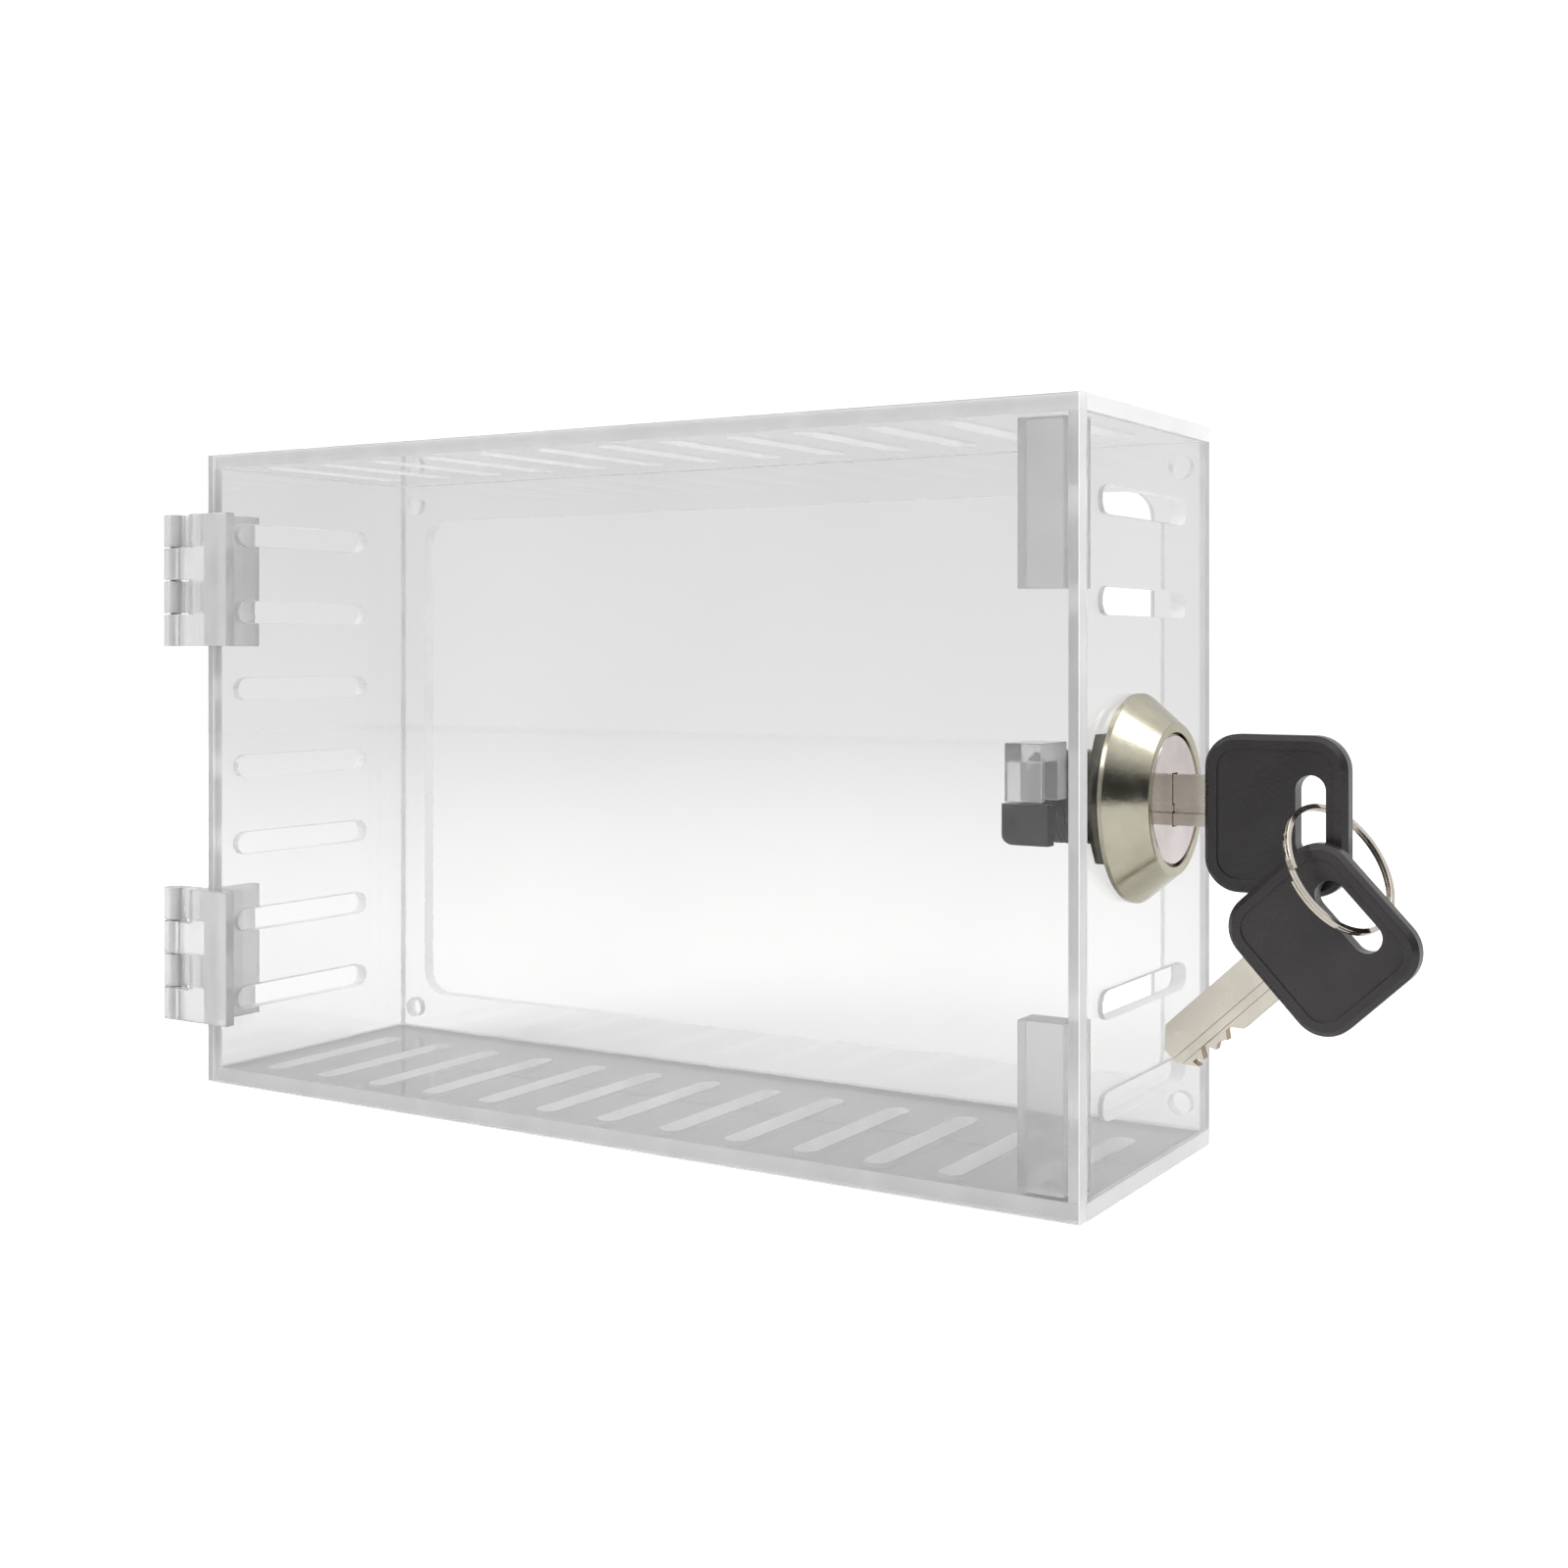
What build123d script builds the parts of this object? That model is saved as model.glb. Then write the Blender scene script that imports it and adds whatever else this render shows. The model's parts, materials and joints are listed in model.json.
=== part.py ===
from build123d import *
import os
from math import asin, cos, radians, sin, sqrt

# Clear acrylic lock box for a wall thermostat. +X is the lock side, +Y points into the wall, +Z is up.
# The origin is the centre of the four wall screws, on the back face. All sizes are in millimetres.

os.makedirs("parts", exist_ok=True)

# Case, cut from one thickness of sheet
case_width = 210.0
case_height = 140.0
case_depth = 64.0
sheet = 3.0
door_gap = 0.2             # closed door to the front edges of the walls
hinge_side_gap = 0.4       # left edge of the door to the case's hinge leaves

# Back frame and its wall screws
frame_side_border = 11.0   # window edge to the outside of the case
frame_end_border = 12.0
window_corner = 5.5
screw_side_inset = 7.2     # hole centre to the outside of the case
screw_end_inset = 7.8
screw_hole_radius = 2.2

# Vent slots
slot_width = 5.0
slot_length = 41.0
slot_setback = 8.0         # front face of the door to the near end of a slot
end_slot_pitch = 15.3      # along the top and bottom walls
side_slot_pitch = 17.5     # up the side walls
side_slot_rows = 3         # above and below the middle row
end_slot_rows = 13
slot_end_sides = 5         # flats round either end of a slot
lock_slot_shift = 2.0      # slots beside the lock, further back

# Hinges: four knuckles each, two on either leaf
hinge_height = 29.6
hinge_end_inset = 28.0     # hinge centre to the top or bottom of the case
leaf = 2.5
door_leaf_reach = 9.0      # onto the face of the door
case_leaf_reach = 12.5     # onto the side wall
knuckle_radius = 2.6
knuckle_gap = 0.3
knuckles = 4
pin_radius = 1.2
pin_clearance = 0.05
pin_reach = 9.9            # pin axis to the outside of the case, in line with the face of the door
leaf_cutback = 3.0         # door leaf beyond the case, beside the other leaf's knuckles
arm_thickness = 2.2
leaf_gap = 0.5             # case leaf behind the door

# Blocks that guide the free edge of the door
block_width = 8.7
block_depth = 6.0
block_height = 29.5
block_side_gap = 0.7
block_end_gap = 0.6

# Cam lock, on an axis along X
lock_setback = 26.0        # front face of the door to the lock axis
bezel_radius = 18.7
bezel_face_radius = 13.5
bezel_height = 7.3
bezel_rim = 0.9
cup_radius = 11.9
cup_depth = 1.9
barrel_radius = 9.5
barrel_flat = 8.2          # axis to either flat
barrel_reach = 11.9        # behind the side wall
barrel_clearance = 0.2
barrel_lead = 0.8          # bevel that starts the nut
nut_flats = 23.0
nut_thickness = 3.5
nut_clearance = 0.1
washer_radius = 12.8
washer_thickness = 0.8

# Plug, its wafers and what it carries
plug_radius = 6.5
plug_clearance = 0.08
plug_face_gap = 0.25
plug_seat_gap = 0.15
tail_width = 7.0
tail_clearance = 0.12
wafer_count = 4
wafer_pitch = 2.8
wafer_thickness = 1.2
wafer_gap = 0.15
wafer_width = 8.0
wafer_first = 2.9          # inner face of the cup to the first wafer
wafer_sides = 12           # flats round a wafer's ends
cam_thickness = 1.8
cam_hub_radius = 8.0
cam_gap = 0.3              # cam to the end of the barrel
cam_tip_gap = 3.0          # cam tip to the back of the door
cam_arm_drop = 5.6         # lower edge of the arm below the axis
tab_width = 9.0            # bent from the arm's tip, back towards the side wall
tab_thickness = 2.6
tab_drop = 7.4             # lower edge of the tab below the axis
tab_corner = 2.4
tab_bend = 0.8
tooth_drop = 0.3           # top of the tab below the axis, with the cam clear of the strike
locked_turn = 20.0         # degrees that lift the tab into the strike
cam_washer_radius = 6.0
cam_washer_thickness = 0.8
screw_radius = 2.4
screw_clearance = 0.1
screw_length = 4.0
screw_head_radius = 4.3
screw_head_height = 2.6
recess_width = 1.1

# Strike, a channel that opens downwards over the cam's tab
strike_width = 7.0
strike_side_gap = 0.4      # beside the cam's arm
strike_leg = 3.9
strike_foot = 1.6
strike_bridge = 3.3
strike_gap = 0.6
strike_play = 0.4

# Keys
blade_thickness = 2.2
blade_width = 9.0
blade_length = 22.0
blade_tang = 7.0
blade_tip = 3.0            # half the height of the tip's flat
groove_width = 1.6
groove_depth = 0.6
groove_offset = 1.5
keyway_clearance = 0.2
key_stand_off = 5.7        # bow to the face of the bezel
bit_depths = (1.3, 2.1, 0.9, 1.7)
bit_flat = 0.9
bow_length = 25.0
bow_width = 27.4
bow_drop = 1.8             # middle of the bow below the middle of the blade
bow_thickness = 4.4
bow_corner = 6.0
bow_edge = 0.9
bow_border = 2.4
bow_recess = 0.35
eye_length = 14.0
eye_width = 5.2
eye_inset = 6.3            # centre of the eye to the end of the bow

# Split ring and the spare key that hangs on it
ring_radius = 11.4
ring_band = 1.0
ring_stack = 1.8
ring_groove = 0.25
ring_step = 2.4            # half the length of the wire's step from one coil to the other
ring_step_turn = 285.0     # where the wire steps, round from the first key's eye
ring_tilt = 70.0           # ring plane out of the plane of the bows
ring_turn = 122.4          # direction from the middle of the ring to the first key's eye
ring_rise = 1.4            # ring above the middle of the first key's eye
bow_spacing = 1.0          # between the two bows
spare_tilt = 47.0          # spare blade away from straight down
spare_shift = 3.4          # ring off the middle of the spare key's eye


# Derived places
half_width = case_width / 2
half_height = case_height / 2
hinge_offset = half_height - hinge_end_inset
front = -case_depth
door_back = front + sheet
wall_front = door_back + door_gap
wall_depth = -wall_front
wall_middle = wall_front / 2
slot_middle = front + slot_setback + slot_length / 2
pin_x = -half_width - pin_reach
pin_y = front
lock_y = front + lock_setback
side_inner = half_width - sheet
barrel_end = side_inner - barrel_reach
bezel_face = half_width + bezel_height
cup_floor = bezel_face - cup_depth
bore_radius = plug_radius + plug_clearance
cam_outer = barrel_end - cam_gap
cam_inner = cam_outer - cam_thickness
plug_end = cam_outer + cam_gap / 3
tail_end = cam_inner + cam_gap / 2
bow_start = bezel_face + key_stand_off
bow_end = bow_start + bow_length
blade_tip_x = bow_start - blade_length
wafer_places = [cup_floor - wafer_first - i * wafer_pitch for i in range(wafer_count)]


def block(x0, x1, y0, y1, z0, z1):
    return Pos((x0 + x1) / 2, (y0 + y1) / 2, (z0 + z1) / 2) * Box(x1 - x0, y1 - y0, z1 - z0)


def front_plane(y):
    return Plane((0, y, 0), x_dir=(1, 0, 0), z_dir=(0, -1, 0))


def side_plane(x):
    return Plane((x, 0, 0), x_dir=(0, 1, 0), z_dir=(1, 0, 0))


def lock_plane(x):
    # Local x points to the door, local y is up, and an extrusion runs into the case
    return Plane((x, lock_y, 0), x_dir=(0, -1, 0), z_dir=(-1, 0, 0))


def lock_cylinder(x0, x1, radius):
    return extrude(lock_plane(x1) * Circle(radius), x1 - x0)


def corner_near(shape, x, y):
    return min(shape.vertices(), key=lambda v: (v.X - x) ** 2 + (v.Y - y) ** 2)


# ---- Case

def vent_slot():
    # A slot along X, with a few flats round each end
    radius = slot_width / 2
    reach = slot_length / 2 - radius
    points = []
    for end, start in ((reach, -90), (-reach, 90)):
        for side in range(slot_end_sides + 1):
            turn = radians(start + side * 180 / slot_end_sides)
            points.append((end + radius * cos(turn), radius * sin(turn)))
    return make_face(Polyline(*points, close=True))


def end_wall(z0):
    outline = Pos(0, wall_middle) * Rectangle(case_width, wall_depth)
    first = -(end_slot_rows - 1) / 2 * end_slot_pitch
    for i in range(end_slot_rows):
        outline -= Pos(first + i * end_slot_pitch, slot_middle) * Rot(0, 0, 90) * vent_slot()
    return extrude(Plane.XY.offset(z0) * outline, sheet)


def side_wall(x0, rows, shift):
    outline = Pos(wall_middle, 0) * Rectangle(wall_depth, case_height - 2 * sheet)
    for row in rows:
        outline -= Pos(slot_middle + shift, row * side_slot_pitch) * vent_slot()
    return extrude(side_plane(x0) * outline, sheet)


def left_wall():
    return side_wall(-half_width, range(-side_slot_rows, side_slot_rows + 1), 0)


def right_wall():
    # The bezel takes the place of the middle rows
    clear_rows = [row for row in range(-side_slot_rows, side_slot_rows + 1)
                  if abs(row) * side_slot_pitch > bezel_radius + slot_width]
    hole = Circle(barrel_radius + barrel_clearance)
    hole &= Rectangle(4 * barrel_radius, 2 * (barrel_flat + barrel_clearance))
    wall = side_wall(side_inner, clear_rows, lock_slot_shift)
    return wall - extrude(lock_plane(half_width) * hole, sheet)


def back_frame():
    outline = Rectangle(case_width - 2 * sheet, case_height - 2 * sheet)
    outline -= RectangleRounded(case_width - 2 * frame_side_border, case_height - 2 * frame_end_border,
                                window_corner)
    screw_x = half_width - screw_side_inset
    screw_z = half_height - screw_end_inset
    outline -= GridLocations(2 * screw_x, 2 * screw_z, 2, 2) * Circle(screw_hole_radius)
    return extrude(front_plane(0) * outline, sheet)


# ---- Door

def door_panel():
    left = -half_width + hinge_side_gap
    return block(left, half_width, front, door_back, -half_height, half_height)


def stop_block(side):
    far = half_height - sheet - block_end_gap
    near = far - block_height
    right = side_inner - block_side_gap
    z0, z1 = sorted((side * near, side * far))
    return block(right - block_width, right, door_back, door_back + block_depth, z0, z1)


def door_strike():
    # Places in the lock plane: distance in front of the lock axis, and height above it
    turn = radians(locked_turn)
    reach = lock_setback - sheet
    tip = reach - cam_tip_gap
    leg_face = (tip - tab_thickness) * cos(turn) + tooth_drop * sin(turn) - strike_play
    bottom = strike_gap - tooth_drop
    ceiling = tip * sin(turn) - tooth_drop * cos(turn) + strike_gap
    top = ceiling + strike_bridge
    back = leg_face - strike_leg
    profile = Pos((reach + back) / 2, (bottom + top) / 2) * Rectangle(reach - back, top - bottom)
    slot_front = reach - strike_foot
    profile -= Pos((slot_front + leg_face) / 2, (bottom + ceiling) / 2) * Rectangle(slot_front - leg_face,
                                                                                   ceiling - bottom)
    return extrude(lock_plane(cam_outer + strike_side_gap + strike_width) * profile, strike_width)


# ---- Hinges, drawn from the pin axis in the plane of the top

def knuckle_rows(first):
    height = (hinge_height - (knuckles - 1) * knuckle_gap) / knuckles
    step = height + knuckle_gap
    return [(hinge_height / 2 - row * step - height, height) for row in range(first, knuckles, 2)]


def hinge_leaf(plate, arm, first, middle):
    # Every second knuckle, with the plate as high as the hinge
    shape = extrude(Plane.XY.offset(-hinge_height / 2) * plate, hinge_height)
    for z0, height in knuckle_rows(first):
        shape += extrude(Plane.XY.offset(z0) * (arm + Circle(knuckle_radius)), height)
    shape -= Cylinder(pin_radius + pin_clearance, 2 * hinge_height)
    return Pos(pin_x, pin_y, middle) * shape


def door_hinge(middle):
    near = pin_reach - leaf_cutback
    far = pin_reach + door_leaf_reach
    plate = Pos((near + far) / 2, -leaf / 2) * Rectangle(far - near, leaf)
    web = Pos(near / 2, -leaf / 2) * Rectangle(near, leaf)
    return hinge_leaf(plate, web, 1, middle)


def case_hinge(middle):
    near = pin_reach - leaf
    low = sheet + leaf_gap
    high = low + case_leaf_reach
    plate = Pos((near + pin_reach) / 2, (low + high) / 2) * Rectangle(leaf, high - low)
    bottom = knuckle_radius - arm_thickness
    arm = make_face(Polyline((0, knuckle_radius), (near, knuckle_radius), (near, low + leaf),
                             (pin_reach, low + leaf), (pin_reach, bottom), (0, bottom), close=True))
    return hinge_leaf(plate, arm, 0, middle)


def hinge_pin(middle):
    return Pos(pin_x, pin_y, middle) * Cylinder(pin_radius, hinge_height)


# ---- Lock

def lock_housing():
    points = [(barrel_end, bore_radius), (barrel_end, barrel_radius - barrel_lead),
              (barrel_end + barrel_lead, barrel_radius), (half_width, barrel_radius), (half_width, bezel_radius),
              (half_width + bezel_rim, bezel_radius), (bezel_face, bezel_face_radius), (bezel_face, cup_radius),
              (cup_floor, cup_radius), (cup_floor, bore_radius)]
    profile = make_face(Polyline(*points, close=True))
    axis_plane = Plane((0, lock_y, 0))
    shape = revolve(axis_plane * profile, Axis((0, lock_y, 0), (1, 0, 0)))
    for side in (-1, 1):
        z0, z1 = sorted((side * barrel_flat, side * 2 * barrel_radius))
        shape -= block(barrel_end - 1, half_width, lock_y - 2 * barrel_radius, lock_y + 2 * barrel_radius, z0, z1)
    return shape


def lock_washer():
    ring = Circle(washer_radius) - Circle(barrel_radius + barrel_clearance)
    return extrude(lock_plane(side_inner) * ring, washer_thickness)


def lock_nut():
    outer = side_inner - washer_thickness
    hexagon = RegularPolygon(nut_flats / 2, 6, major_radius=False) - Circle(barrel_radius + nut_clearance)
    return extrude(lock_plane(outer) * hexagon, nut_thickness)


def blade_section(x0, x1, clearance):
    # A blade's cross-section with a groove in each side, run from x0 to x1 on the lock axis
    half_thick = blade_thickness / 2 + clearance
    half_wide = blade_width / 2 + clearance
    shape = block(x0, x1, -half_thick, half_thick, -half_wide, half_wide)
    floor = blade_thickness / 2 - groove_depth + clearance
    half_groove = groove_width / 2 - clearance
    for side in (-1, 1):
        y0, y1 = sorted((side * floor, side * (half_thick + 1)))
        middle = side * groove_offset
        shape -= block(x0, x1, y0, y1, middle - half_groove, middle + half_groove)
    return shape


def lock_plug():
    face = bezel_face - plug_face_gap
    seat = cup_floor + plug_seat_gap
    disc = lock_cylinder(seat, face, cup_radius - plug_face_gap)
    disc = chamfer(disc.edges().sort_by(Axis.X)[-1], 0.4)
    shape = disc + lock_cylinder(plug_end, seat, plug_radius)
    shape += block(tail_end, plug_end, lock_y - tail_width / 2, lock_y + tail_width / 2,
                   -tail_width / 2, tail_width / 2)
    shape -= lock_cylinder(tail_end, cam_inner + screw_length, screw_radius + screw_clearance)
    keyway_end = blade_tip_x - 3 * keyway_clearance
    shape -= Pos(0, lock_y, 0) * blade_section(keyway_end, face, keyway_clearance)
    half_slot = wafer_thickness / 2 + wafer_gap
    half_wide = wafer_width / 2 + wafer_gap
    for x in wafer_places:
        shape -= block(x - half_slot, x + half_slot, lock_y - half_wide, lock_y + half_wide,
                       -plug_radius, plug_radius)
    return shape


def lock_wafers():
    window = Rectangle(blade_thickness + 4 * keyway_clearance, blade_width + 4 * keyway_clearance)
    outline = RegularPolygon(plug_radius - wafer_gap, wafer_sides) & Rectangle(wafer_width, 4 * plug_radius)
    wafer = outline - window
    return [extrude(lock_plane(x + wafer_thickness / 2) * wafer, wafer_thickness) for x in wafer_places]


def lock_cam():
    tip = lock_setback - sheet - cam_tip_gap
    heel = tip - tab_thickness
    arm = make_face(Polyline((0, -cam_hub_radius), (0.5 * cam_hub_radius, -cam_hub_radius),
                             (cam_hub_radius, -cam_arm_drop), (tip, -cam_arm_drop), (tip, -tooth_drop),
                             (0.9 * cam_hub_radius, -tooth_drop), (0, 0), close=True))
    hole = tail_width + 2 * tail_clearance
    cam = extrude(lock_plane(cam_outer) * (arm + Circle(cam_hub_radius) - Rectangle(hole, hole)), cam_thickness)
    tab = Pos(cam_inner + tab_width / 2, -(tooth_drop + tab_drop) / 2) * Rectangle(tab_width, tab_drop - tooth_drop)
    tab = fillet(corner_near(tab, cam_inner, -tab_drop), tab_corner)
    cam += extrude(front_plane(lock_y - heel) * tab, tab_thickness)
    bend = [edge for edge in cam.edges().filter_by(Axis.Z)
            if abs(edge.center().X - cam_inner) < 0.01 and abs(edge.center().Y - lock_y + tip) < 0.01]
    return fillet(bend, tab_bend)


def cam_washer():
    ring = Circle(cam_washer_radius) - Circle(screw_radius + screw_clearance)
    return extrude(lock_plane(cam_inner) * ring, cam_washer_thickness)


def cam_screw():
    under = cam_inner - cam_washer_thickness
    head = lock_cylinder(under - screw_head_height, under, screw_head_radius)
    head = chamfer(head.edges().sort_by(Axis.X)[0], 0.9)
    recess = Rectangle(1.2 * screw_head_radius, recess_width) + Rectangle(recess_width, 1.2 * screw_head_radius)
    head -= extrude(lock_plane(under - screw_head_height / 2) * recess, screw_head_height)
    return head + lock_cylinder(under, cam_inner + screw_length - screw_clearance, screw_radius)


# ---- Keys, drawn in place in the lock with the blade along X

def key_blade():
    half = blade_width / 2
    end = bow_start + blade_tang
    shoulder = blade_tip_x + half - blade_tip / 2
    edge = [(shoulder, -half)]
    places = sorted(wafer_places)
    for i, (x, depth) in enumerate(zip(places, bit_depths)):
        edge += [(x - bit_flat / 2, depth - half), (x + bit_flat / 2, depth - half)]
        if i + 1 < len(places):
            edge.append((x + wafer_pitch / 2, 0.3 * min(depth, bit_depths[i + 1]) - half))
    edge.append((places[-1] + bit_flat / 2 + bit_depths[-1], -half))
    outline = make_face(Polyline((end, half), (shoulder, half), (blade_tip_x, blade_tip / 2),
                                 (blade_tip_x, -blade_tip / 2), *edge, (end, -half), close=True))
    blade = extrude(front_plane(0) * outline, blade_thickness / 2, both=True)
    return blade & blade_section(blade_tip_x, end, 0)


def key_bow():
    middle = bow_start + bow_length / 2
    outline = front_plane(0) * (Pos(middle, -bow_drop) * RectangleRounded(bow_length, bow_width, bow_corner))
    bow = extrude(outline, bow_thickness / 2, both=True)
    bow = chamfer(bow.faces().filter_by(Axis.Y).edges(), bow_edge)
    panel = RectangleRounded(bow_length - 2 * bow_border, bow_width - 2 * bow_border, bow_corner - bow_border)
    eye = Pos(bow_end - eye_inset, -bow_drop) * Rot(0, 0, 90) * SlotOverall(eye_length, eye_width)
    floor = bow_thickness / 2 - bow_recess
    for side in (-1, 1):
        plane = front_plane(0).offset(side * floor)
        bow -= extrude(plane * (Pos(middle, -bow_drop) * panel), side * 2 * bow_recess)
    bow -= extrude(front_plane(0) * eye, bow_thickness, both=True)
    return bow - blade_section(bow_start - 1, bow_start + blade_tang, 0)


def ring_layout():
    # Where the ring passes the middle plane of either bow, and the middle of the ring
    tilt = radians(ring_tilt)
    turn = radians(ring_turn)
    along = (cos(turn), sin(turn))
    across = (sin(turn), -cos(turn))
    half_spacing = (bow_thickness + bow_spacing) / 2
    rise = asin(half_spacing / (ring_radius * sin(tilt)))
    a = ring_radius * cos(rise)
    b = ring_radius * sin(rise) * cos(tilt)
    first = (bow_end - eye_inset, ring_rise - bow_drop)
    middle = (first[0] - a * along[0] - b * across[0], first[1] - a * along[1] - b * across[1])
    spare = (middle[0] - a * along[0] - b * across[0], middle[1] - a * along[1] - b * across[1])
    middle_y = lock_y - half_spacing
    normal = (-sin(tilt) * along[1], cos(tilt) * (along[1] * across[0] - along[0] * across[1]),
              sin(tilt) * along[0])
    return first, (middle[0], middle_y, middle[1]), spare, normal, (along[0], 0, along[1])


def key_ring():
    _, middle, _, normal, along = ring_layout()
    half = ring_stack / 2
    inner = ring_radius - ring_band / 2
    outer = ring_radius + ring_band / 2
    profile = make_face(Polyline((inner, -half), (outer, -half), (outer, -ring_groove), (outer - ring_groove, 0),
                                 (outer, ring_groove), (outer, half), (inner, half), close=True))
    ring = revolve(Plane.XZ * profile, Axis.Z)
    # Each coil ends beside the wire's step
    notch = make_face(Polyline((-ring_step, half), (ring_step, 0), (ring_step, 2 * half), (-ring_step, 2 * half),
                               close=True))
    for turn in (0, 180):
        cut = extrude(side_plane(0) * Rot(0, 0, turn) * notch, 2 * ring_radius)
        ring -= Rot(0, 0, ring_step_turn) * cut
    return Plane(middle, x_dir=along, z_dir=normal) * ring


def spare_place(shape):
    # From the first key's place to hanging on the ring, turned about the ring's pass through its eye
    _, middle, spare, _, _ = ring_layout()
    eye = (bow_end - eye_inset, -bow_drop)
    y = 2 * middle[1] - lock_y
    across = radians(spare_tilt)
    centre = (spare[0] - spare_shift * cos(across), spare[1] + spare_shift * sin(across))
    turned = Rot(0, -90 + spare_tilt, 0) * Pos(-eye[0], 0, -eye[1]) * shape
    return Pos(centre[0], y, centre[1]) * turned


def in_lock(shape):
    return Pos(0, lock_y, 0) * shape


nodes = {
    "back_frame": back_frame(),
    "top_wall": end_wall(half_height - sheet),
    "bottom_wall": end_wall(-half_height),
    "left_wall": left_wall(),
    "right_wall": right_wall(),
    "door_panel": door_panel(),
    "door_strike": door_strike(),
    "lock_housing": lock_housing(),
    "lock_washer": lock_washer(),
    "lock_nut": lock_nut(),
    "lock_plug": lock_plug(),
    "lock_wafers": Compound(children=lock_wafers()),
    "lock_cam": lock_cam(),
    "cam_washer": cam_washer(),
    "cam_screw": cam_screw(),
    "key_blade": in_lock(key_blade()),
    "key_bow": in_lock(key_bow()),
    "key_ring": key_ring(),
    "spare_blade": spare_place(key_blade()),
    "spare_bow": spare_place(key_bow()),
}
for name, side in (("upper", 1), ("lower", -1)):
    nodes[name + "_door_hinge"] = door_hinge(side * hinge_offset)
    nodes[name + "_case_hinge"] = case_hinge(side * hinge_offset)
    nodes[name + "_hinge_pin"] = hinge_pin(side * hinge_offset)
    nodes[name + "_stop_block"] = stop_block(side)

for name, shape in nodes.items():
    export_step(shape, "parts/" + name + ".step")

first, middle, spare, _, _ = ring_layout()
print("hinge axis", pin_x, pin_y)
print("lock axis", lock_y, "cam", cam_inner, cam_outer)
print("ring joint", [round(v, 4) for v in (first[0], lock_y, first[1])])
print("spare joint", [round(v, 4) for v in (spare[0], 2 * middle[1] - lock_y, spare[1])])
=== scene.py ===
import json
import math

import bpy
from mathutils import Matrix, Vector


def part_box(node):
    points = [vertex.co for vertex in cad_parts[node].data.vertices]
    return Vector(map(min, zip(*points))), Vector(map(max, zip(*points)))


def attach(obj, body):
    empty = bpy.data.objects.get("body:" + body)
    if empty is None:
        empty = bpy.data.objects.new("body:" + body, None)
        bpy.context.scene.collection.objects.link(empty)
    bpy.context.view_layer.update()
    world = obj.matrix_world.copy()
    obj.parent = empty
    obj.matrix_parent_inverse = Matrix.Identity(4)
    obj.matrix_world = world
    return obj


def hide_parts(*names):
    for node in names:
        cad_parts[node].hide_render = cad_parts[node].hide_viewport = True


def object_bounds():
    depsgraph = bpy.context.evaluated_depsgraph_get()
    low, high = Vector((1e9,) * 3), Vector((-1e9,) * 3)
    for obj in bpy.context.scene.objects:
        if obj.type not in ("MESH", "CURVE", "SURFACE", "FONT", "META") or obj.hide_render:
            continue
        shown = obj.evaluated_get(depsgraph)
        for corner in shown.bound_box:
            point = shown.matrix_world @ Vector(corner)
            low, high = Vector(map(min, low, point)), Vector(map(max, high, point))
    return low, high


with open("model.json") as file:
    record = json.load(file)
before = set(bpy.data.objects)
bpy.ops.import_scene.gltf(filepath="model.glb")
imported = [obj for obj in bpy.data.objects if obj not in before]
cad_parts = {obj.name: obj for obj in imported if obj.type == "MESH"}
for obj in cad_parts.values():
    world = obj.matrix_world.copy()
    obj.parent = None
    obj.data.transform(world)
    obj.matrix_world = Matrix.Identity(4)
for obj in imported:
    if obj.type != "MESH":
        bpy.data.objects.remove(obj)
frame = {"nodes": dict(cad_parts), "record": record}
cadLow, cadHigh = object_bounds()
mm = 0.001
bodyOf = {node: body for body, nodes in frame["record"]["behaviour"]["bodies"].items() for node in nodes}
print("frame loaded:", len(frame["nodes"]), "nodes")


# camera, floor and light

cameraView = {
    "place": (234.47, -368.24, 26.66),  # mm, in the box's own frame
    "turn": 31.66,
    "lens": 44.85,
    "rise": -0.0863,
    "clip": (0.01, 50),  # metres
}

studio = {
    "floorSize": 3000,
    "floorDrop": 0.15,  # under the lowest point of the box
    "paper": (0.84, 0.84, 0.836, 1),
    "glow": 0.6,  # the camera sees the paper and the sky as pure white
    "skyWhite": (1.1, 1.1, 1.1, 1),
    "skyLow": (0.88, 0.875, 0.872, 1),  # the tones that light the box
    "skyHigh": (0.70, 0.695, 0.695, 1),
    "skyTop": (1.02, 1.02, 1.02, 1),
    "skyFront": (0.05, 0.051, 0.055, 1),  # dark side of the room, for bare metal
    "highBand": (-0.1, 0.3),  # height of a direction, where one tone gives way to the next
    "topBand": (0.36, 0.66),
    "frontBand": (0.12, -0.3),
    "grainScale": 900,
    "grainRelief": 0.02,
    "roughness": 0.9,
}

softboxes = [
    # name, place mm, size mm, watts
    ("keyLight", (-450, -650, 800), (600, 400), 3.4),
    ("sideLight", (650, 150, 900), (500, 500), 2.2),
]


def clearSelection():
    bpy.ops.object.select_all(action="DESELECT")


def newMaterial(name):
    material = bpy.data.materials.new(name)
    material.use_nodes = True
    nodes = material.node_tree.nodes
    return material, nodes, material.node_tree.links, nodes["Principled BSDF"]


def setUpCamera():
    bpy.ops.object.camera_add(location=Vector(cameraView["place"]) * mm,
                              rotation=(math.radians(90), 0, math.radians(cameraView["turn"])))
    camera = bpy.context.object
    camera.name = "viewCamera"
    camera.data.lens = cameraView["lens"]
    camera.data.shift_y = cameraView["rise"]
    camera.data.clip_start, camera.data.clip_end = cameraView["clip"]
    bpy.context.scene.camera = camera


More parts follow.
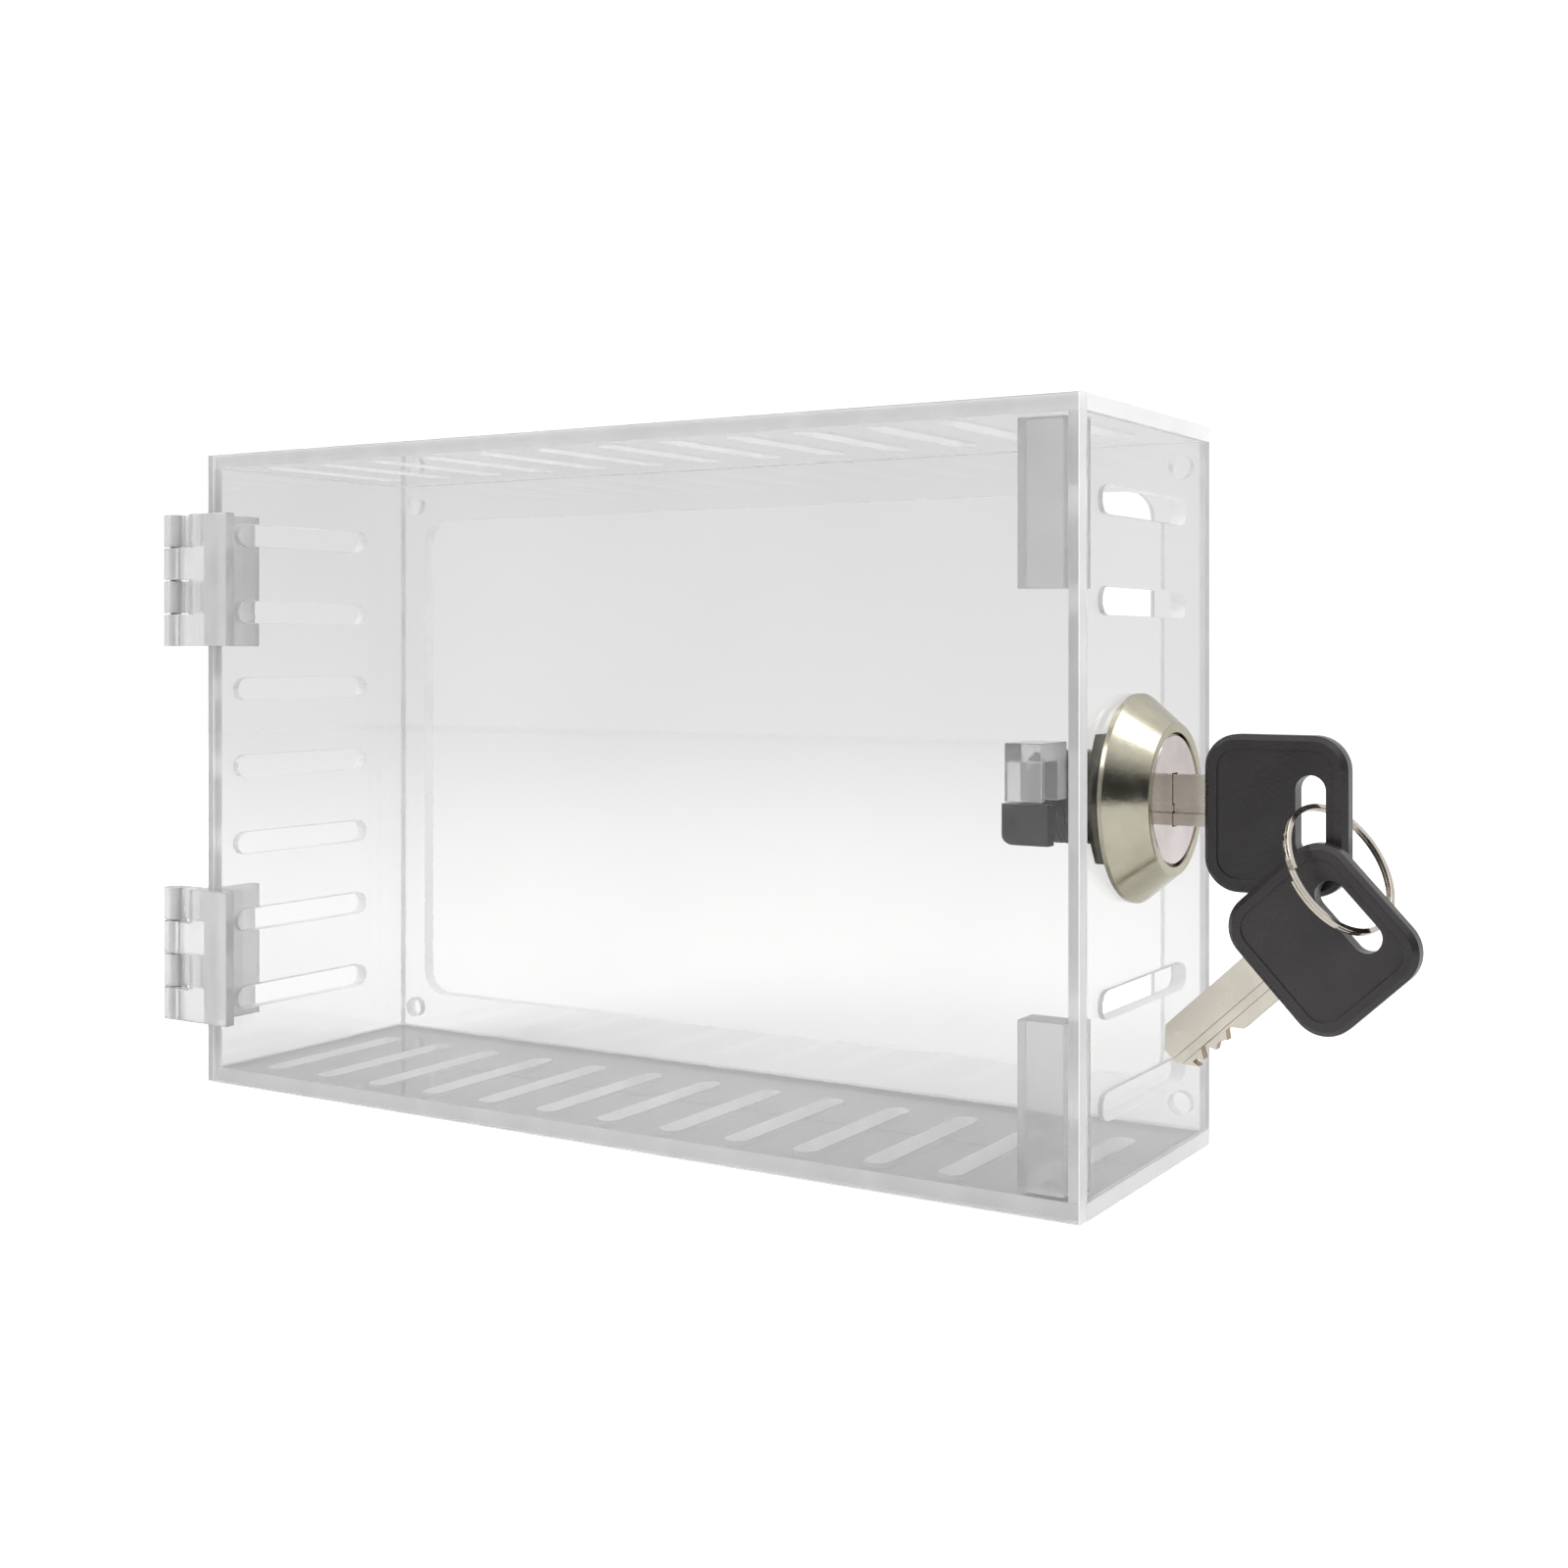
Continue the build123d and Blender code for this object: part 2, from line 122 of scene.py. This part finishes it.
def paperMaterial():
    material, nodes, links, shader = newMaterial("studioPaper")
    grain = nodes.new("ShaderNodeTexNoise")
    grain.inputs["Scale"].default_value = studio["grainScale"]
    bump = nodes.new("ShaderNodeBump")
    bump.inputs["Strength"].default_value = studio["grainRelief"]
    links.new(grain.outputs["Fac"], bump.inputs["Height"])
    links.new(bump.outputs["Normal"], shader.inputs["Normal"])
    shader.inputs["Base Color"].default_value = studio["paper"]
    shader.inputs["Emission Color"].default_value = studio["paper"]
    path = nodes.new("ShaderNodeLightPath")
    glow = nodes.new("ShaderNodeMath")
    glow.operation = "MULTIPLY"
    glow.inputs[1].default_value = studio["glow"]
    links.new(path.outputs["Is Camera Ray"], glow.inputs[0])
    links.new(glow.outputs[0], shader.inputs["Emission Strength"])
    shader.inputs["Roughness"].default_value = studio["roughness"]
    return material


def paintSky(nodes, links):
    where = nodes.new("ShaderNodeTexCoord")
    split = nodes.new("ShaderNodeSeparateXYZ")
    path = nodes.new("ShaderNodeLightPath")
    links.new(where.outputs["Generated"], split.inputs[0])

    def ramp(source, band):
        node = nodes.new("ShaderNodeMapRange")
        node.inputs["From Min"].default_value, node.inputs["From Max"].default_value = band
        links.new(source, node.inputs["Value"])
        return node.outputs["Result"]

    def product(first, second):
        node = nodes.new("ShaderNodeMath")
        node.operation = "MULTIPLY"
        links.new(first, node.inputs[0])
        links.new(second, node.inputs[1])
        return node.outputs[0]

    height = split.outputs["Z"]
    front = product(ramp(split.outputs["Y"], studio["frontBand"]), ramp(height, studio["topBand"][::-1]))
    outsideClear = ramp(path.outputs["Transmission Depth"], (1, 0))
    bareReflection = product(path.outputs["Is Glossy Ray"], outsideClear)
    layers = [
        # how much of each tone lies over the one before
        (ramp(height, studio["highBand"]), "skyHigh"),
        (ramp(height, studio["topBand"]), "skyTop"),
        (product(bareReflection, front), "skyFront"),
        (path.outputs["Is Camera Ray"], "skyWhite"),
    ]
    colour = None
    for share, tone in layers:
        mix = nodes.new("ShaderNodeMix")
        mix.data_type = "RGBA"
        links.new(share, mix.inputs[0])
        mix.inputs[6].default_value = studio["skyLow"]
        if colour:
            links.new(colour, mix.inputs[6])
        mix.inputs[7].default_value = studio[tone]
        colour = mix.outputs[2]
    links.new(colour, nodes["Background"].inputs["Color"])


def setUpStudio():
    lowest = cadLow.z - studio["floorDrop"] * mm
    paper = paperMaterial()
    clearSelection()
    bpy.ops.mesh.primitive_plane_add(size=studio["floorSize"] * mm, location=(0, 0, lowest))
    floor = bpy.context.object
    floor.name = "studioFloor"
    floor.data.materials.append(paper)
    for name, place, size, watts in softboxes:
        bpy.ops.object.light_add(type="AREA", location=Vector(place) * mm)
        lamp = bpy.context.object
        lamp.name = name
        lamp.data.shape = "RECTANGLE"
        lamp.data.size, lamp.data.size_y = size[0] * mm, size[1] * mm
        lamp.data.energy = watts
        lamp.rotation_euler = (-lamp.location).to_track_quat("-Z", "Y").to_euler()
    bpy.context.scene.view_settings.view_transform = "Standard"
    world = bpy.data.worlds.new("studioWorld")
    world.use_nodes = True
    bpy.context.scene.world = world
    paintSky(world.node_tree.nodes, world.node_tree.links)


setUpCamera()
setUpStudio()
print("camera, floor and light ready")


# effects that several finishes share

def newGroup(name, inputs, outputs):
    group = bpy.data.node_groups.new(name, "ShaderNodeTree")
    for label, kind, value in inputs:
        socket = group.interface.new_socket(label, in_out="INPUT", socket_type=kind)
        socket.default_value = value
    for label, kind in outputs:
        group.interface.new_socket(label, in_out="OUTPUT", socket_type=kind)
    return group, group.nodes.new("NodeGroupInput"), group.nodes.new("NodeGroupOutput")


handling = {"detail": 5, "range": (0.42, 0.75), "fineScale": 1400, "fineDepth": 0.0002}
mottling = {"detail": 4, "range": (0.35, 0.65)}


def handlingGroup():
    # soft smears and hairline scratches, as roughness and a normal
    group, start, end = newGroup(
        "handlingMarks",
        [("Smooth", "NodeSocketFloat", 0.02), ("Hazy", "NodeSocketFloat", 0.1), ("Scale", "NodeSocketFloat", 40),
         ("Relief", "NodeSocketFloat", 0.02)],
        [("Roughness", "NodeSocketFloat"), ("Normal", "NodeSocketVector"), ("Mask", "NodeSocketFloat")])
    nodes, links = group.nodes, group.links
    where = nodes.new("ShaderNodeTexCoord")
    smear = nodes.new("ShaderNodeTexNoise")
    smear.inputs["Detail"].default_value = handling["detail"]
    ramp = nodes.new("ShaderNodeMapRange")
    ramp.inputs["From Min"].default_value, ramp.inputs["From Max"].default_value = handling["range"]
    spread = nodes.new("ShaderNodeMix")
    spread.data_type = "FLOAT"
    fine = nodes.new("ShaderNodeTexNoise")
    fine.inputs["Scale"].default_value = handling["fineScale"]
    bump = nodes.new("ShaderNodeBump")
    bump.inputs["Distance"].default_value = handling["fineDepth"]
    links.new(where.outputs["Object"], smear.inputs["Vector"])
    links.new(start.outputs["Scale"], smear.inputs["Scale"])
    links.new(smear.outputs["Fac"], ramp.inputs["Value"])
    links.new(ramp.outputs["Result"], spread.inputs[0])
    links.new(start.outputs["Smooth"], spread.inputs[2])
    links.new(start.outputs["Hazy"], spread.inputs[3])
    links.new(where.outputs["Object"], fine.inputs["Vector"])
    links.new(fine.outputs["Fac"], bump.inputs["Height"])
    links.new(start.outputs["Relief"], bump.inputs["Strength"])
    links.new(spread.outputs[0], end.inputs["Roughness"])
    links.new(bump.outputs["Normal"], end.inputs["Normal"])
    links.new(ramp.outputs["Result"], end.inputs["Mask"])
    return group


def mottleGroup():
    # slow change between two colours
    group, start, end = newGroup(
        "mottle",
        [("Colour A", "NodeSocketColor", (1, 1, 1, 1)), ("Colour B", "NodeSocketColor", (0.8, 0.8, 0.8, 1)),
         ("Scale", "NodeSocketFloat", 60)],
        [("Color", "NodeSocketColor")])
    nodes, links = group.nodes, group.links
    where = nodes.new("ShaderNodeTexCoord")
    noise = nodes.new("ShaderNodeTexNoise")
    noise.inputs["Detail"].default_value = mottling["detail"]
    ramp = nodes.new("ShaderNodeMapRange")
    ramp.inputs["From Min"].default_value, ramp.inputs["From Max"].default_value = mottling["range"]
    mix = nodes.new("ShaderNodeMix")
    mix.data_type = "RGBA"
    links.new(where.outputs["Object"], noise.inputs["Vector"])
    links.new(start.outputs["Scale"], noise.inputs["Scale"])
    links.new(noise.outputs["Fac"], ramp.inputs["Value"])
    links.new(ramp.outputs["Result"], mix.inputs[0])
    links.new(start.outputs["Colour A"], mix.inputs[6])
    links.new(start.outputs["Colour B"], mix.inputs[7])
    links.new(mix.outputs[2], end.inputs["Color"])
    return group


handlingMarks = handlingGroup()
mottle = mottleGroup()


def addGroup(nodes, group, values):
    node = nodes.new("ShaderNodeGroup")
    node.node_tree = group
    for label, value in values.items():
        node.inputs[label].default_value = value
    return node


def finish(name, look):
    # look: two tones, their scale, roughness range, relief, and plain values for the shader
    material, nodes, links, shader = newMaterial(name)
    tones = addGroup(nodes, mottle, {"Colour A": look["toneA"], "Colour B": look["toneB"],
                                     "Scale": look["toneScale"]})
    marks = addGroup(nodes, handlingMarks, {"Smooth": look["smooth"], "Hazy": look["hazy"],
                                            "Scale": look["markScale"], "Relief": look["relief"]})
    links.new(tones.outputs["Color"], shader.inputs["Base Color"])
    links.new(marks.outputs["Roughness"], shader.inputs["Roughness"])
    links.new(marks.outputs["Normal"], shader.inputs["Normal"])
    for label, value in look["plain"].items():
        shader.inputs[label].default_value = value
    return material


looks = {
    "clearAcrylic": {"toneA": (0.975, 0.973, 0.974, 1), "toneB": (0.945, 0.943, 0.945, 1), "toneScale": 14,
                     "smooth": 0.0, "hazy": 0.03, "markScale": 22, "relief": 0.01,
                     "plain": {"Transmission Weight": 1.0, "IOR": 1.49}},
    "sawnAcrylicPaintedGlow": {"toneA": (0.97, 0.973, 0.98, 1), "toneB": (0.89, 0.895, 0.91, 1), "toneScale": 150,
                    "smooth": 0.3, "hazy": 0.55, "markScale": 260, "relief": 0.2,
                    "plain": {"Transmission Weight": 0.35, "IOR": 1.49, "Emission Color": (1, 1, 1, 1),
                              "Emission Strength": 0.12}},  # painted glow: the cut edges emit light of their own, standing in for light that a clear sheet carries to its edge
    "mouldedAcrylic": {"toneA": (0.97, 0.965, 0.967, 1), "toneB": (0.91, 0.903, 0.906, 1), "toneScale": 110,
                       "smooth": 0.04, "hazy": 0.2, "markScale": 90, "relief": 0.12,
                       "plain": {"Transmission Weight": 0.68, "IOR": 1.49}},
    "satinNickel": {"toneA": (0.52, 0.495, 0.395, 1), "toneB": (0.45, 0.425, 0.33, 1), "toneScale": 180,
                    "smooth": 0.16, "hazy": 0.26, "markScale": 320, "relief": 0.06,
                    "plain": {"Metallic": 1.0}},
    "plugChrome": {"toneA": (0.72, 0.67, 0.67, 1), "toneB": (0.60, 0.53, 0.51, 1), "toneScale": 90,
                   "smooth": 0.05, "hazy": 0.16, "markScale": 240, "relief": 0.05,
                   "plain": {"Metallic": 1.0}},
    "darkZinc": {"toneA": (0.055, 0.055, 0.053, 1), "toneB": (0.022, 0.022, 0.021, 1), "toneScale": 240,
                 "smooth": 0.3, "hazy": 0.5, "markScale": 420, "relief": 0.4,
                 "plain": {"Metallic": 0.8}},
    "waferBrass": {"toneA": (0.74, 0.60, 0.33, 1), "toneB": (0.60, 0.47, 0.25, 1), "toneScale": 300,
                   "smooth": 0.25, "hazy": 0.4, "markScale": 400, "relief": 0.2,
                   "plain": {"Metallic": 1.0}},
    "brightSteel": {"toneA": (0.70, 0.70, 0.70, 1), "toneB": (0.58, 0.58, 0.59, 1), "toneScale": 260,
                    "smooth": 0.14, "hazy": 0.3, "markScale": 300, "relief": 0.1,
                    "plain": {"Metallic": 1.0}},
    "ringSteel": {"toneA": (0.76, 0.71, 0.64, 1), "toneB": (0.60, 0.54, 0.47, 1), "toneScale": 120,
                  "smooth": 0.08, "hazy": 0.22, "markScale": 300, "relief": 0.05,
                  "plain": {"Metallic": 1.0}},
    "keyNickel": {"toneA": (0.76, 0.72, 0.64, 1), "toneB": (0.66, 0.62, 0.54, 1), "toneScale": 40,
                  "smooth": 0.22, "hazy": 0.34, "markScale": 120, "relief": 0.02,
                  "plain": {"Metallic": 1.0}},
    "cutBrass": {"toneA": (0.42, 0.31, 0.19, 1), "toneB": (0.30, 0.21, 0.13, 1), "toneScale": 120,
                 "smooth": 0.24, "hazy": 0.4, "markScale": 200, "relief": 0.04,
                 "plain": {"Metallic": 1.0}},
    "bowPlastic": {"toneA": (0.033, 0.029, 0.031, 1), "toneB": (0.022, 0.019, 0.021, 1), "toneScale": 60,
                   "smooth": 0.26, "hazy": 0.42, "markScale": 90, "relief": 0.14,
                   "plain": {"IOR": 1.5}},
}
materials = {name: finish(name, look) for name, look in looks.items()}
print("finishes ready:", len(materials))


# clear sheets: a rounded copy of each solid, with its cut edges hazier than its faces and given a painted glow

clearSheets = {
    # thin axis of the sheet, or None for a moulded block
    "back_frame": "Y",
    "top_wall": "Z",
    "bottom_wall": "Z",
    "left_wall": "X",
    "right_wall": "X",
    "door_panel": "Y",
    "upper_door_hinge": None,
    "lower_door_hinge": None,
    "upper_case_hinge": None,
    "lower_case_hinge": None,
    "upper_stop_block": None,
    "lower_stop_block": None,
    "door_strike": None,
}

sheetEdges = {
    "bevel": 0.2,
    "segments": 2,
    "angle": 40,
    "glueLine": 0.02,
    "square": 0.95,  # a face whose normal has more than this along the thin axis is uncut
}


copying = {"merge": 0.002, "flat": 0.5}  # mm between points, degrees between faces


def workingCopy(nodeName, pieceName):
    clearSelection()
    piece = bpy.data.objects.new(pieceName, frame["nodes"][nodeName].data.copy())
    bpy.context.scene.collection.objects.link(piece)
    piece.select_set(True)
    bpy.context.view_layer.objects.active = piece
    if piece.data.has_custom_normals:
        bpy.ops.mesh.customdata_custom_splitnormals_clear()
    piece.data.materials.clear()
    bpy.ops.object.mode_set(mode="EDIT")
    bpy.ops.mesh.select_all(action="SELECT")
    bpy.ops.mesh.remove_doubles(threshold=copying["merge"] * mm)
    bpy.ops.mesh.dissolve_limited(angle_limit=math.radians(copying["flat"]))
    bpy.ops.object.mode_set(mode="OBJECT")
    return piece


def softenEdges(piece, width, segments, angle):
    bpy.ops.object.shade_smooth_by_angle(angle=math.radians(angle))
    bevel = piece.modifiers.new("softEdges", "BEVEL")
    bevel.harden_normals = True  # flat faces stay flat
    bevel.width = width * mm
    bevel.segments = segments
    bevel.limit_method = "ANGLE"
    bevel.angle_limit = math.radians(angle)
    bevel.use_clamp_overlap = True
    bpy.ops.object.modifier_apply(modifier=bevel.name)


def openGlueLine(depth):
    # a hair of air between sheets that touch
    bpy.ops.object.mode_set(mode="EDIT")
    bpy.ops.mesh.select_all(action="SELECT")
    bpy.ops.transform.shrink_fatten(value=-depth * mm, use_even_offset=True)
    bpy.ops.object.mode_set(mode="OBJECT")


def paintCutFaces(piece, thinAxis):
    # slot 1 for the faces that the saw or cutter left, which carry the sawn finish with its painted glow
    axis = "XYZ".index(thinAxis)
    for face in piece.data.polygons:
        face.material_index = 0 if abs(face.normal[axis]) > sheetEdges["square"] else 1


def standFor(piece, nodeName):
    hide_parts(nodeName)
    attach(piece, bodyOf[nodeName])


def makeClearSheets():
    for nodeName, thinAxis in clearSheets.items():
        piece = workingCopy(nodeName, nodeName + "_clear")
        openGlueLine(sheetEdges["glueLine"])
        softenEdges(piece, sheetEdges["bevel"], sheetEdges["segments"], sheetEdges["angle"])
        piece.data.materials.append(materials["clearAcrylic" if thinAxis else "mouldedAcrylic"])
        if thinAxis:
            piece.data.materials.append(materials["sawnAcrylicPaintedGlow"])
            paintCutFaces(piece, thinAxis)
        standFor(piece, nodeName)
    print("clear sheets:", len(clearSheets))


makeClearSheets()


# metal and plastic that keep their solid's shape

dressed = {
    # node: finish, bevel mm, record slot
    "lock_housing": ("satinNickel", 0.12, "bezel_nickel"),
    "lock_plug": ("plugChrome", 0.08, "plug_chrome"),
    "lock_washer": ("brightSteel", 0.08, "pin_steel"),
    "lock_nut": ("darkZinc", 0.15, "lock_zinc"),
    "lock_cam": ("darkZinc", 0.2, "lock_zinc"),
    "lock_wafers": ("waferBrass", 0.05, "wafer_brass"),
    "cam_washer": ("brightSteel", 0.08, "pin_steel"),
    "cam_screw": ("brightSteel", 0.1, "pin_steel"),
    "upper_hinge_pin": ("brightSteel", 0.15, "pin_steel"),
    "lower_hinge_pin": ("brightSteel", 0.15, "pin_steel"),
    "key_bow": ("bowPlastic", 0.4, "bow_black"),
    "spare_bow": ("bowPlastic", 0.4, "bow_black"),
    "key_blade": ("keyNickel", 0.08, "key_nickel"),
    "spare_blade": ("keyNickel", 0.08, "key_nickel"),
}

hardEdges = {"segments": 3, "angle": 30}
keySides = 0.4  # a blade's face whose normal has less than this along Y is part of its cut edge

barrelThread = {
    "crest": 9.5,  # radius, mm
    "depth": 0.55,
    "width": 0.66,  # of the groove, at the crest
    "pitch": 1.0,
    "from": 90.4,
    "turns": 11,
    "axisY": -38.0,
    "steps": 40,  # in one turn
}


def closeEnds():
    # a wound profile gets its two end faces, and its normals turned outwards
    bpy.ops.object.mode_set(mode="EDIT")
    bpy.ops.mesh.select_all(action="SELECT")
    bpy.ops.mesh.remove_doubles(threshold=0.001 * mm)
    bpy.ops.mesh.select_all(action="DESELECT")
    bpy.ops.mesh.select_non_manifold()
    bpy.ops.mesh.edge_face_add()
    bpy.ops.mesh.select_all(action="SELECT")
    bpy.ops.mesh.normals_make_consistent(inside=False)
    bpy.ops.object.mode_set(mode="OBJECT")


def cutBarrelThread(housing):
    # a wound vee groove, taken out of the barrel's round sides
    t = barrelThread
    clearSelection()
    bpy.ops.mesh.primitive_circle_add(vertices=3, radius=1, fill_type="NGON",
                                      rotation=(math.radians(90), math.radians(-90), 0))
    bpy.ops.object.transform_apply(location=True, rotation=True, scale=True)
    groove = bpy.context.object
    groove.name = "threadGroove"
    # the vee's middle lies on the crest, so its open side is clear of the barrel
    bpy.ops.object.mode_set(mode="EDIT")
    bpy.ops.mesh.select_all(action="SELECT")
    bpy.ops.transform.resize(value=(t["depth"] * mm, 1, t["width"] * 1.5 / math.sqrt(3) * mm),
                             center_override=(0, 0, 0))
    bpy.ops.transform.translate(value=(t["crest"] * mm, 0, 0))
    bpy.ops.object.mode_set(mode="OBJECT")
    winding = groove.modifiers.new("manyTurns", "SCREW")
    winding.axis = "Z"
    winding.angle = 2 * math.pi * t["turns"]
    winding.screw_offset = t["pitch"] * t["turns"] * mm
    winding.steps = winding.render_steps = t["steps"] * t["turns"]
    winding.use_merge_vertices = False
    bpy.ops.object.modifier_apply(modifier=winding.name)
    closeEnds()
    groove.rotation_euler = (0, math.radians(90), 0)
    groove.location = Vector((t["from"], t["axisY"], 0)) * mm
    bpy.ops.object.transform_apply(location=True, rotation=True, scale=True)
    bpy.ops.object.shade_smooth_by_angle(angle=math.radians(hardEdges["angle"]))
    clearSelection()
    housing.select_set(True)
    bpy.context.view_layer.objects.active = housing
    cut = housing.modifiers.new("threadCut", "BOOLEAN")
    cut.operation = "DIFFERENCE"
    cut.solver = "EXACT"
    cut.object = groove
    bpy.ops.object.modifier_apply(modifier=cut.name)
    bpy.data.objects.remove(groove)
    print("thread cut:", len(housing.data.polygons), "faces")


def makeDressedPieces():
    for nodeName, (finishName, width, slotName) in dressed.items():
        piece = workingCopy(nodeName, nodeName + "_finished")
        softenEdges(piece, width, hardEdges["segments"], hardEdges["angle"])
        piece.data.materials.append(materials[finishName])
        if nodeName == "lock_housing":
            cutBarrelThread(piece)
            piece.data.materials.append(materials["darkZinc"])
            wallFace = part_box("right_wall")[1].x
            for face in piece.data.polygons:
                face.material_index = 0 if face.center.x > wallFace else 1
        if finishName == "keyNickel":
            piece.data.materials.append(materials["cutBrass"])
            for face in piece.data.polygons:
                face.material_index = 0 if abs(face.normal.y) > keySides else 1
        standFor(piece, nodeName)
    print("metal and plastic pieces:", len(dressed))


makeDressedPieces()


# split ring: a flat wire wound twice

splitRing = {
    "radius": 11.4,
    "band": 0.95,
    "wire": 0.6,
    "lie": 0.6,  # from one coil to the next
    "centre": (141.781, -40.7, -10.241),
    "turn": 122.4,
    "tilt": 70.0,
    "steps": 144,
    "endGap": 8,  # degrees short of two full turns
    "endTurn": 285,  # where both ends lie, round from the first key's eye
    "softEdge": 0.12,
    "softSegments": 2,
    "softAngle": 40,
}


def makeSplitRing():
    s = splitRing
    clearSelection()
    bpy.ops.mesh.primitive_plane_add(size=1, location=(0, 0, 0))
    ring = bpy.context.object
    ring.name = "split_ring"
    bpy.ops.object.mode_set(mode="EDIT")
    bpy.ops.mesh.select_all(action="SELECT")
    bpy.ops.transform.resize(value=(s["band"] * mm, s["wire"] * mm, 1))
    bpy.ops.transform.rotate(value=math.radians(90), orient_axis="X", center_override=(0, 0, 0))
    bpy.ops.transform.translate(value=(s["radius"] * mm, 0, -s["lie"] * mm))
    bpy.ops.object.mode_set(mode="OBJECT")
    winding = ring.modifiers.new("twoTurns", "SCREW")
    winding.axis = "Z"
    winding.angle = math.radians(720 - s["endGap"])
    winding.screw_offset = 2 * s["lie"] * mm
    winding.steps = winding.render_steps = s["steps"]
    winding.use_merge_vertices = False
    bpy.ops.object.modifier_apply(modifier=winding.name)
    closeEnds()
    turn, tilt = math.radians(s["turn"]), math.radians(s["tilt"])
    along = Vector((math.cos(turn), 0, math.sin(turn)))
    across = Vector((math.sin(turn), 0, -math.cos(turn))) * math.cos(tilt) + Vector((0, math.sin(tilt), 0))
    axis = along.cross(across)
    laidDown = Matrix((along, across, axis)).transposed().to_4x4()
    ring.matrix_world = (Matrix.Translation(Vector(s["centre"]) * mm) @ laidDown
                         @ Matrix.Rotation(math.radians(s["endTurn"]), 4, "Z"))
    bpy.ops.object.transform_apply(location=True, rotation=True, scale=True)
    softenEdges(ring, s["softEdge"], s["softSegments"], s["softAngle"])
    ring.data.materials.append(materials["ringSteel"])
    standFor(ring, "key_ring")
    print("split ring wound")


makeSplitRing()
